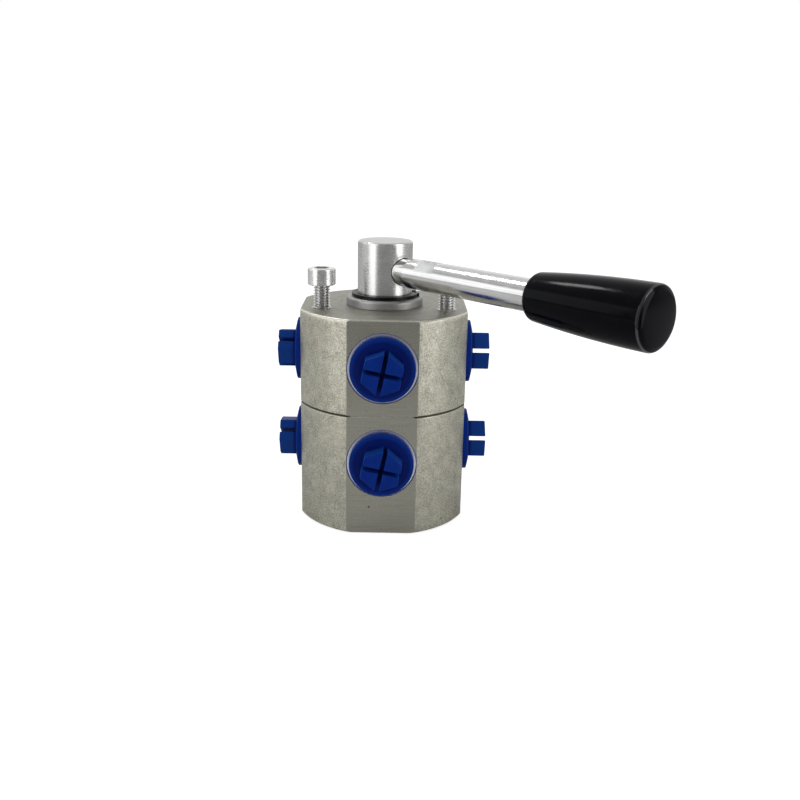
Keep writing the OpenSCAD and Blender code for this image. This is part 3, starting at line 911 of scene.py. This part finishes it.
def lever_steel():
    """Bright drawn bar with faint marks along it and duller wrench flats."""
    material, tree, _, spot, _ = new_material("lever_steel", 1.0, 0.2)
    along_bar = on_lever(tree, spot)
    marks = use_group(tree, MARKS, Vector=along_bar, Scale=2200.0)
    cloud = mottle(tree, spot, 300.0)
    shade = blend(tree, blend(tree, 0.4, marks, cloud), grey(0.66), grey(0.80))
    shade = blend(tree, wear(tree, spot, 0.3 * MM, 2.5), shade, grey(0.9))
    ground = ground_flats(tree, parts_of(tree, along_bar))
    shade = blend(tree, ground, shade, rgb(0.58, 0.60, 0.59))
    rough = ramp(tree, cloud, 0.0, 1.0, 0.15, 0.21)
    rough = math_node(tree, "MULTIPLY_ADD", ground, 0.03, rough)
    return finished(material, shade, rough, marks, 0.0005 * MM)


def knob_plastic():
    """Glossy black moulded plastic with faint scuffs and a shinier rounding at its end."""
    material, tree, surface, spot, _ = new_material("knob_plastic", 0.0, 0.12)
    surface["Specular IOR Level"].default_value = 0.07
    surface["Coat Roughness"].default_value = 0.06
    surface["Coat IOR"].default_value = 1.9
    cloud = mottle(tree, spot, 160.0)
    colour = blend(tree, cloud, rgb(0.001, 0.0011, 0.0022), rgb(0.002, 0.0022, 0.0046))
    scuffs = use_group(tree, SPECKS, Vector=spot, Scale=350.0, Size=0.05)
    colour = blend(tree, times(tree, scuffs, 0.35), colour, grey(0.1))
    along = parts_of(tree, on_lever(tree, spot))[0]
    rim_end = KNOB_START + KNOB_L
    rim_start = rim_end - KNOB_END_ROUND
    rim_in = ramp(tree, along, rim_start + 0.15 * MM, rim_start + 0.5 * MM)
    rim_out = ramp(tree, along, rim_end - 0.1 * MM, rim_end - 0.35 * MM)
    tree.links.new(times(tree, rim_in, rim_out), surface["Coat Weight"])
    rough = ramp(tree, cloud, 0.0, 1.0, 0.1, 0.17)
    return finished(material, colour, rough, mottle(tree, spot, 700.0, 0.4), 0.004 * MM)


def plug_plastic():
    """Ultramarine moulded plastic: dark flange with a paler rim, paler posts with painted light on
    their side faces, edges paler from rubbing and a painted highlight.
    """
    material, tree, surface, spot, normal = new_material("plug_plastic", 0.0, 0.38)
    surface["Specular IOR Level"].default_value = 0.07
    cloud = mottle(tree, spot, 220.0)
    grain = mottle(tree, spot, 1800.0)
    radius, reach, at_side = around_port(tree, spot)
    facing = parts_of(tree, normal)
    outward_x = times(tree, size_of(tree, facing[0]), at_side)
    outward_y = times(tree, size_of(tree, facing[1]), rest_of(tree, at_side))
    # painted light: the posts' side faces, across the port's axis, are paler as if lit
    post_side_painted_light = ramp(tree, math_node(tree, "ADD", outward_x, outward_y), 0.5, 0.2)
    post_side_painted_light = times(tree, post_side_painted_light, ramp(tree, radius, HEX_R - 2.3 * MM, HEX_R - 1.6 * MM))
    post_start = SPOT_FLOOR + PLUG_HUB
    post = ramp(tree, reach, post_start, post_start + 1.5 * MM)
    rim = ramp(tree, radius, FLANGE_R - 2.0 * MM, FLANGE_R - 0.5 * MM)
    flange = blend(tree, cloud, rgb(0.0009, 0.0085, 0.115), rgb(0.0013, 0.012, 0.145))
    flange = blend(tree, rim, flange, rgb(0.0018, 0.027, 0.235))
    posts = blend(tree, cloud, rgb(0.0016, 0.020, 0.2), rgb(0.0024, 0.029, 0.25))
    posts = blend(tree, post_side_painted_light, posts, rgb(0.006, 0.048, 0.275))
    colour = blend(tree, post, flange, posts)
    # paler edges: rubbing, and a painted highlight along them
    edge_sheen_and_rub = times(tree, wear(tree, spot, 0.5 * MM, 2.4), 0.8)
    colour = blend(tree, edge_sheen_and_rub, colour, rgb(0.012, 0.095, 0.42))
    rough = ramp(tree, grain, 0.0, 1.0, 0.34, 0.44)
    return finished(material, colour, rough, grain, 0.008 * MM)


def seal_rubber():
    """Matte black rubber."""
    material, tree, _, spot, _ = new_material("seal_rubber", 0.0, 0.6)
    grain = mottle(tree, spot, 1500.0)
    colour = blend(tree, grain, grey(0.018), grey(0.035))
    return finished(material, colour, ramp(tree, grain, 0.0, 1.0, 0.5, 0.7), grain, 0.01 * MM)


# Housing
def port_cutters(height):
    """The shapes cut away at a row's four ports: spot face, thread and passage."""
    bottom = SPOT_FLOOR - PORT_DEPTH
    outline = [
        (0, PASSAGE_END), (PASSAGE_R, PASSAGE_END), (PASSAGE_R, bottom), (PORT_R, bottom),
        (PORT_R, SPOT_FLOOR), (SPOT_R, SPOT_FLOOR), (SPOT_R, FLAT_X - SPOT_RIM),
        (SPOT_R + SPOT_RIM + CUT_PAST, FLAT_X + CUT_PAST), (0, FLAT_X + CUT_PAST),
    ]
    outward = moving(0, 0, height) @ turning(90, "Y")
    return [placed("port", outline, turning(turn) @ outward, 96) for turn in (0, 90, 180, 270)]


def hole_cutters(name, outline, places, steps=40):
    """The same upright hole at several places."""
    return [placed(name, outline, moving(x, y), steps) for x, y in places]


def tie_cutters():
    outline = [
        (0, -CUT_PAST), (TIE_HEAD_HOLE_R, -CUT_PAST), (TIE_HEAD_HOLE_R, TIE_SINK),
        (TIE_CLEAR_R, TIE_SINK), (TIE_CLEAR_R, SEAM_Z), (TIE_TAP_R, SEAM_Z),
        (TIE_TAP_R, TIE_HOLE_TOP), (0, TIE_HOLE_TOP),
    ]
    return hole_cutters("tie_hole", outline, TIE_PLACES)


def mount_cutters():
    floor_z = TOP_Z - MOUNT_HOLE_DEPTH
    rim = MOUNT_HOLE_RIM_R - MOUNT_HOLE_R
    outline = [
        (0, floor_z), (MOUNT_HOLE_R, floor_z), (MOUNT_HOLE_R, TOP_Z - rim),
        (MOUNT_HOLE_RIM_R + CUT_PAST, TOP_Z + CUT_PAST), (0, TOP_Z + CUT_PAST),
    ]
    return hole_cutters("mount_hole", outline, MOUNT_PLACES)


def dowel_cutters():
    outline = tube(0, DOWEL_R, SEAM_Z - DOWEL_HALF, SEAM_Z + DOWEL_HALF)
    return hole_cutters("dowel_hole", outline, ((-DOWEL_X, 0), (DOWEL_X, 0)), 24)


def milled_blank(name, outline, middle_z):
    """A turned body with its four milled flats and its soft edges."""
    piece = turned(name, closed(outline), steps=160)
    for x, y in ((1, 0), (-1, 0), (0, 1), (0, -1)):
        slice_off(piece, (x * FLAT_X, y * FLAT_X, middle_z), (x, y, 0))
    soften(piece, BODY_EDGE, angle=15)
    return piece


def lower_body(metal):
    piece = milled_blank("lower_body_shell", [
        (CAP_SEAT_R, 0), (BODY_R - BASE_CHAMFER, 0), (BODY_R, BASE_CHAMFER),
        (BODY_R, SEAM_Z - SEAM_CHAMFER), (BODY_R - SEAM_CHAMFER, SEAM_Z),
        (JOINT_SEAL_OUT, SEAM_Z), (JOINT_SEAL_OUT, SEAM_Z - JOINT_SEAL_DEPTH),
        (JOINT_SEAL_IN, SEAM_Z - JOINT_SEAL_DEPTH), (JOINT_SEAL_IN, SEAM_Z),
        (BORE_R, SEAM_Z), (BORE_R, CAP_TOP), (CAP_SEAT_R, CAP_TOP),
    ], SEAM_Z / 2)
    pocket_span = 2 * SWING + 2 * STOP_SIDE
    pocket = turned(
        "stop_pocket", tube(POCKET_IN_R, POCKET_R, CAP_TOP - CUT_PAST, POCKET_TOP),
        steps=24, span=pocket_span, start=LEVER_TURN + 180 - SWING - pocket_span / 2,
    )
    carve(piece, port_cutters(PORT_ROWS["lower"]) + tie_cutters() + dowel_cutters())
    carve(piece, [pocket])
    smooth(piece)
    finish_piece(piece, metal, "housing", "lower_body")


def upper_body(metal):
    piece = milled_blank("upper_body_shell", [
        (BORE_R, SEAM_Z), (BODY_R - SEAM_CHAMFER, SEAM_Z), (BODY_R, SEAM_Z + SEAM_CHAMFER),
        (BODY_R, TOP_Z - TOP_CHAMFER), (BODY_R - TOP_CHAMFER, TOP_Z),
        (GLAND_SEAT_R, TOP_Z), (GLAND_SEAT_R, GLAND_BASE), (BORE_R, GLAND_BASE),
    ], (SEAM_Z + TOP_Z) / 2)
    ports = port_cutters(PORT_ROWS["upper"])
    carve(piece, ports + tie_cutters() + dowel_cutters() + mount_cutters())
    smooth(piece)
    finish_piece(piece, metal, "housing", "upper_body")


def gland_ring(metal):
    """The ring that holds the shaft's seals, with its collar above the top."""
    outline = [
        (SHAFT_BORE_R, GLAND_BASE), (GLAND_R, GLAND_BASE), (GLAND_R, GLAND_SEAL_LOW),
        (GLAND_SEAL_R, GLAND_SEAL_LOW), (GLAND_SEAL_R, GLAND_SEAL_HIGH),
        (GLAND_R, GLAND_SEAL_HIGH), (GLAND_R, TOP_Z),
        (COLLAR_R - COLLAR_FOOT, TOP_Z), (COLLAR_R, TOP_Z + COLLAR_FOOT),
    ]
    outline += arc(COLLAR_R - COLLAR_ROUND, COLLAR_TOP - COLLAR_ROUND, COLLAR_ROUND, 0, 90, 6)
    outline += [
        (WIPER_R, COLLAR_TOP), (WIPER_R, WIPER_LOW), (SHAFT_BORE_R, WIPER_LOW),
        (SHAFT_BORE_R, SHAFT_SEAL_HIGH), (SHAFT_SEAL_R, SHAFT_SEAL_HIGH),
        (SHAFT_SEAL_R, SHAFT_SEAL_LOW), (SHAFT_BORE_R, SHAFT_SEAL_LOW),
    ]
    piece = turned("collar_ring", closed(outline), steps=128)
    smooth(piece)
    finish_piece(piece, metal, "housing", "gland_ring")


# Rotor
def rotor_outline():
    """Spool with its seal grooves, shaft with the circlip's groove."""
    lower, upper = PORT_ROWS.values()
    seal_side = PASSAGE_R + SEAL_FROM_PASSAGE
    seal_r = SPOOL_R - SEAL_DEPTH
    outline = [(0, SPOOL_BASE), (SPOOL_R, SPOOL_BASE)]
    for low in (
        lower - seal_side - SEAL_W, lower + seal_side,
        upper - seal_side - SEAL_W, SPOOL_TOP - SEAL_FROM_TOP - SEAL_W,
    ):
        high = low + SEAL_W
        outline += [(SPOOL_R, low), (seal_r, low), (seal_r, high), (SPOOL_R, high)]
    clip_low = COLLAR_TOP - FIT_GAP
    clip_high = COLLAR_TOP + CIRCLIP_T + FIT_GAP
    clip_r = SHAFT_R - CIRCLIP_GROOVE
    outline += [(SPOOL_R, SPOOL_TOP), (SHAFT_R, SPOOL_TOP)]
    outline += [(SHAFT_R, clip_low), (clip_r, clip_low), (clip_r, clip_high), (SHAFT_R, clip_high)]
    outline += arc(SHAFT_R - SHAFT_EDGE, SHAFT_TOP - SHAFT_EDGE, SHAFT_EDGE, 0, 90, 5)
    return outline + [(0, SHAFT_TOP)]


def flow_grooves():
    """Two grooves in each port row, which join ports round the rotor."""
    cutters = []
    for row in PORT_ROWS.values():
        outline = tube(SPOOL_R - FLOW_DEPTH, SPOOL_R + CUT_PAST, row - PASSAGE_R, row + PASSAGE_R)
        for side in (90, 270):
            start = LEVER_TURN + side - FLOW_SPAN / 2
            cutters.append(turned("flow_groove", outline, steps=24, span=FLOW_SPAN, start=start))
    return cutters


def rotor(metal):
    """Spool and operating shaft in one piece."""
    piece = turned("rotor_shaft", rotor_outline(), steps=128)
    cutters = flow_grooves()
    ball_hole = tube(0, BALL_HOLE_R, SPOOL_BASE - CUT_PAST, BALL_HOLE_TOP)
    ball_places = ring_places(BALL_RING, (LEVER_TURN + 90, LEVER_TURN + 270))
    cutters += hole_cutters("ball_hole", ball_hole, ball_places, 24)
    pin_hole = tube(0, PIN_HOLE_R, PIN_INNER, SPOOL_R + CUT_PAST)
    to_stop = turning(LEVER_TURN + 180) @ moving(0, 0, PIN_Z) @ turning(90, "Y")
    cutters.append(placed("pin_hole", pin_hole, to_stop, 24))
    rod_hole = tube(0, ROD_THREAD_R + FIT_GAP, ROD_THREAD_START - CUT_PAST, 2 * SHAFT_R)
    cutters.append(placed("lever_hole", rod_hole, lever_matrix(), 64))
    carve(piece, cutters)
    smooth(piece)
    finish_piece(piece, metal, "rotor", "rotor")


def circlip(metal):
    """The open ring on the shaft, with its two drilled lugs."""
    low, high = COLLAR_TOP, COLLAR_TOP + CIRCLIP_T
    under, over = low - CUT_PAST, high + CUT_PAST
    ring = turned("shaft_circlip", closed(tube(CIRCLIP_IN_R, CIRCLIP_OUT_R, low, high)))
    lug_places = ((CIRCLIP_LUG_X, -CIRCLIP_LUG_Y), (CIRCLIP_LUG_X, CIRCLIP_LUG_Y))
    for x, y in lug_places:
        fuse(ring, placed("lug", tube(0, CIRCLIP_LUG_R, low, high), moving(x, y), 32))
    gap = box_block((0, -CIRCLIP_GAP / 2, under), (2 * SHAFT_R, CIRCLIP_GAP / 2, over))
    lug_hole = tube(0, CIRCLIP_HOLE_R, under, over)
    lug_holes = hole_cutters("lug_hole", lug_hole, lug_places, 20)
    carve(ring, [turned("clip_bore", tube(0, CIRCLIP_IN_R, under, over))])
    carve(ring, [gap] + lug_holes)
    soften(ring, CIRCLIP_EDGE)
    smooth(ring)
    place(ring, turning(CIRCLIP_TURN))
    finish_piece(ring, metal, "rotor", "circlip")


# Lever
def lever_matrix():
    """Takes a turned piece's axis to the lever's line."""
    return moving(0, 0, LEVER_Z) @ turning(LEVER_TURN) @ turning(90, "Y")


def lever_rod(metal):
    """The bar between shaft and knob, threaded at both ends, with two wrench flats."""
    thread_end = KNOB_START + KNOB_THREAD_L
    piece = turned("lever_bar", [
        (0, ROD_THREAD_START), (ROD_THREAD_R - ROD_TIP, ROD_THREAD_START),
        (ROD_THREAD_R, ROD_THREAD_START + ROD_TIP), (ROD_THREAD_R, ROD_THREAD_END),
        (NECK_R, ROD_THREAD_END), (NECK_R, NECK_END), (ROD_R - NECK_SHOULDER, NECK_END),
        (ROD_R, NECK_END + NECK_SHOULDER), (ROD_R, KNOB_START),
        (KNOB_THREAD_R, KNOB_START), (KNOB_THREAD_R, thread_end), (0, thread_end),
    ])
    far = 2 * ROD_R
    blocks = [
        box_block((WRENCH_HALF, -far, WRENCH_START), (far, far, WRENCH_END)),
        box_block((-far, -far, WRENCH_START), (-WRENCH_HALF, far, WRENCH_END)),
    ]
    for block in blocks:
        place(block, turning(WRENCH_TURN))
    carve(piece, blocks)
    soften(piece, WRENCH_EDGE, angle=20)
    smooth(piece)
    place(piece, lever_matrix())
    finish_piece(piece, metal, "rotor", "lever_rod")


def lever_knob(plastic):
    """A knob that widens ever less towards its end, with a slight dome there."""
    side_l = KNOB_L - KNOB_START_ROUND - KNOB_END_ROUND
    side_steps = 24
    dome_steps = 8
    bore_r = KNOB_THREAD_R + FIT_GAP
    outline = [(bore_r, 0)]
    outline += arc(KNOB_START_R - KNOB_START_ROUND, KNOB_START_ROUND, KNOB_START_ROUND, -90, 0, 8)
    for step in range(1, side_steps):
        part = step / side_steps
        radius = KNOB_START_R + (KNOB_END_R - KNOB_START_R) * (1 - (1 - part) ** 2)
        outline.append((radius, KNOB_START_ROUND + side_l * part))
    end_r, end_z = KNOB_END_R - KNOB_END_ROUND, KNOB_L - KNOB_END_ROUND
    outline += arc(end_r, end_z, KNOB_END_ROUND, 0, KNOB_DOME_ANGLE, 6)
    edge_r = outline[-1][0]
    edge_angle = 90 - KNOB_DOME_ANGLE
    for step in range(1, dome_steps + 1):
        angle = math.radians(edge_angle + KNOB_DOME_ANGLE * step / dome_steps)
        radius = edge_r * math.cos(angle) / math.cos(math.radians(edge_angle))
        outline.append((radius, KNOB_L + KNOB_DOME * math.sin(angle)))
    depth = KNOB_THREAD_L + CUT_PAST
    outline += [(0, depth), (bore_r, depth)]
    piece = turned("knob", closed(outline), steps=128)
    smooth(piece, 60)
    place(piece, lever_matrix() @ moving(0, 0, KNOB_START))
    finish_piece(piece, plastic, "rotor", "lever_knob")


# Screws
def threaded_shank(length):
    """A shank with a true helical thread, from just inside the head downwards."""
    rise = SCREW_R - SCREW_ROOT_R
    flank = SCREW_PITCH * 5 / 16
    crest = SCREW_PITCH / 8
    root = SCREW_PITCH / 4
    piece = lone_point("shank")
    bpy.ops.transform.translate(value=(SCREW_ROOT_R, 0, -length - SCREW_PITCH))
    for step in ((rise, 0, flank), (0, 0, crest), (-rise, 0, flank), (0, 0, root)):
        draw_on(step)
    end_edit()
    apply_modifier(
        piece, "thread", "SCREW", axis="Z", angle=math.tau, screw_offset=SCREW_PITCH,
        steps=36, render_steps=36, iterations=int(length / SCREW_PITCH) + 3,
        use_merge_vertices=True, merge_threshold=WELD,
    )
    edit_whole(piece)
    bpy.ops.mesh.remove_doubles(threshold=WELD)
    end_edit()
    slice_off(piece, (0, 0, -length), (0, 0, -1))
    slice_off(piece, (0, 0, SHANK_IN_HEAD), (0, 0, 1))
    edit_whole(piece)
    bpy.ops.mesh.normals_make_consistent(inside=False)
    end_edit()
    return piece


def socket_screw(name, length):
    """A socket head screw with its head's underside at height 0."""
    outline = [(0, 0), (SCREW_HEAD_R - SCREW_FOOT, 0), (SCREW_HEAD_R, SCREW_FOOT)]
    outline += arc(SCREW_HEAD_R - SCREW_EDGE, SCREW_HEAD_H - SCREW_EDGE, SCREW_EDGE, 0, 90)
    outline += [(0, SCREW_HEAD_H)]
    head = turned(name, outline, steps=72)
    carve(head, [hexagon(SOCKET_R, SCREW_HEAD_H / 2, SCREW_HEAD_H + CUT_PAST)])
    low_r, low_z = SOCKET_R + SOCKET_CONE_LOW[0], SCREW_HEAD_H + SOCKET_CONE_LOW[1]
    high_r, high_z = SOCKET_R + SOCKET_CONE_HIGH[0], SCREW_HEAD_H + SOCKET_CONE_HIGH[1]
    tip_z = SCREW_HEAD_H + SOCKET_CONE_TIP
    cone = [(0, tip_z), (low_r, low_z), (high_r, high_z), (0, high_z)]
    carve(head, [turned("socket_rim", cone, steps=48)])
    fuse(head, threaded_shank(length))
    smooth(head, 30)
    return head


def add_screws(name, node, length, places, seat, spin, metal):
    """Copies of one screw, each with its own turn of the socket."""
    first = socket_screw(name, length)
    for index, (x, y) in enumerate(places):
        turn = turning(spin[0] + spin[1] * index)
        screw = copied(first, f"{name}_{index + 1}", moving(x, y) @ seat @ turn)
        finish_piece(screw, metal, "housing", node)
    remove(first)


# Shipping plugs
def plug_shape():
    """One plug with +Z leaving the port: flange, hexagon with crossed slots, hollow barrel."""
    inner = BARREL_R - BARREL_WALL
    outline = [
        (0, 0), (inner, 0), (inner, -BARREL_L), (BARREL_R - BARREL_TIP, -BARREL_L),
        (BARREL_R, -BARREL_L + BARREL_TIP), (BARREL_R, 0),
        (FLANGE_R - PLUG_EDGE, 0), (FLANGE_R, PLUG_EDGE),
    ]
    outline += arc(FLANGE_R - PLUG_EDGE, FLANGE_RIM - PLUG_EDGE, PLUG_EDGE, 0, 80)
    outline += [(HEX_R + HEX_FOOT[0], PLUG_HUB - HEX_FOOT[1]), (HEX_R, PLUG_HUB), (0, PLUG_HUB)]
    plug = turned("plug", outline)
    posts = hexagon(HEX_R, PLUG_HUB - HEX_SUNK, PLUG_HUB + HEX_H)
    far = 2 * HEX_R
    half = SLOT_W / 2
    for x, y in ((far, half), (half, far)):
        slot = box_block((-x, -y, PLUG_HUB - CUT_PAST), (x, y, PLUG_HUB + 2 * HEX_H))
        carve(posts, [slot])
    soften(posts, PLUG_EDGE, segments=3)
    fuse(plug, posts)
    smooth(plug, 32)
    return plug


def add_plugs(plastic):
    """Eight copies of one plug, each with its own turn of the slots."""
    first = plug_shape()
    upright = turning(90) @ turning(90, "X")
    for side, (azimuth, *slot_turns) in PLUG_TURNS.items():
        for row, slot_turn in zip(("upper", "lower"), slot_turns):
            seat = turning(azimuth) @ moving(SPOT_FLOOR, 0, PORT_ROWS[row])
            matrix = seat @ upright @ turning(slot_turn)
            plug = copied(first, f"shipping_plug_{row}_{side}", matrix)
            finish_piece(plug, plastic, "housing", f"plug_{row}_{side}")
    remove(first)


# Finishes of the CAD nodes that stay as they are
def dress(material, *nodes):
    for node in nodes:
        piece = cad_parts[node]
        piece.data.materials.clear()
        piece.data.materials.append(material)


add_camera()
add_world(0.3, 0.7)
add_lamp("left_box", azimuth=-54, elevation=14, width=0.5, height=1.05, watts=2.9)
add_lamp("right_box", azimuth=61, elevation=14, width=0.46, height=1.05, watts=4.3)
add_lamp("side_box", azimuth=-92, elevation=16, width=0.5, height=0.44, watts=0.65)
add_lamp("back_spot", azimuth=-130, elevation=55, width=0.13, height=0.13, watts=0.9)
add_floor(0.7)

HOUSING_METAL = body_metal()
# turned steel for the shaft and end cap, with painted shade on the faces that look up
SHAFT_STEEL = turned_steel(
    "turned_steel", (0.72, 0.72, 0.71), 0.28, FINE_RELIEF, tone=0.08, top_shade=0.28,
)
BLACK_STEEL = plain_metal("black_steel", (0.022, 0.022, 0.023), 0.38)

lower_body(HOUSING_METAL)
upper_body(HOUSING_METAL)
gland_ring(turned_steel("collar_steel", (0.44, 0.435, 0.435), 0.5, 0.004 * MM, scale=1600.0))
rotor(SHAFT_STEEL)
circlip(BLACK_STEEL)
lever_rod(lever_steel())
lever_knob(knob_plastic())
add_screws(
    "mounting_screw", "mounting_screws", MOUNT_L, MOUNT_PLACES,
    moving(0, 0, MOUNT_HEAD_Z), MOUNT_SPIN,
    plain_metal("screw_steel", (0.83, 0.83, 0.81), 0.28, threads=True),
)
add_screws(
    "tie_screw", "tie_screws", TIE_L, TIE_PLACES,
    moving(0, 0, TIE_SINK) @ turning(180, "X"), TIE_SPIN, BLACK_STEEL,
)
add_plugs(plug_plastic())

dress(
    seal_rubber(), "joint_seal", "end_cap_seal", "gland_seal", "shaft_seal", "wiper_seal",
    "rotor_seal_base", "rotor_seal_lower", "rotor_seal_upper", "rotor_seal_top",
)
dress(
    plain_metal("ground_steel", (0.62, 0.62, 0.61), 0.22),
    "dowel_pins", "stop_pin", "detent_balls", "detent_springs",
)
dress(plain_metal("bronze", (0.60, 0.42, 0.20), 0.3), "base_washer", "top_washer")
dress(SHAFT_STEEL, "end_cap")

bpy.context.scene.view_settings.view_transform = "Standard"
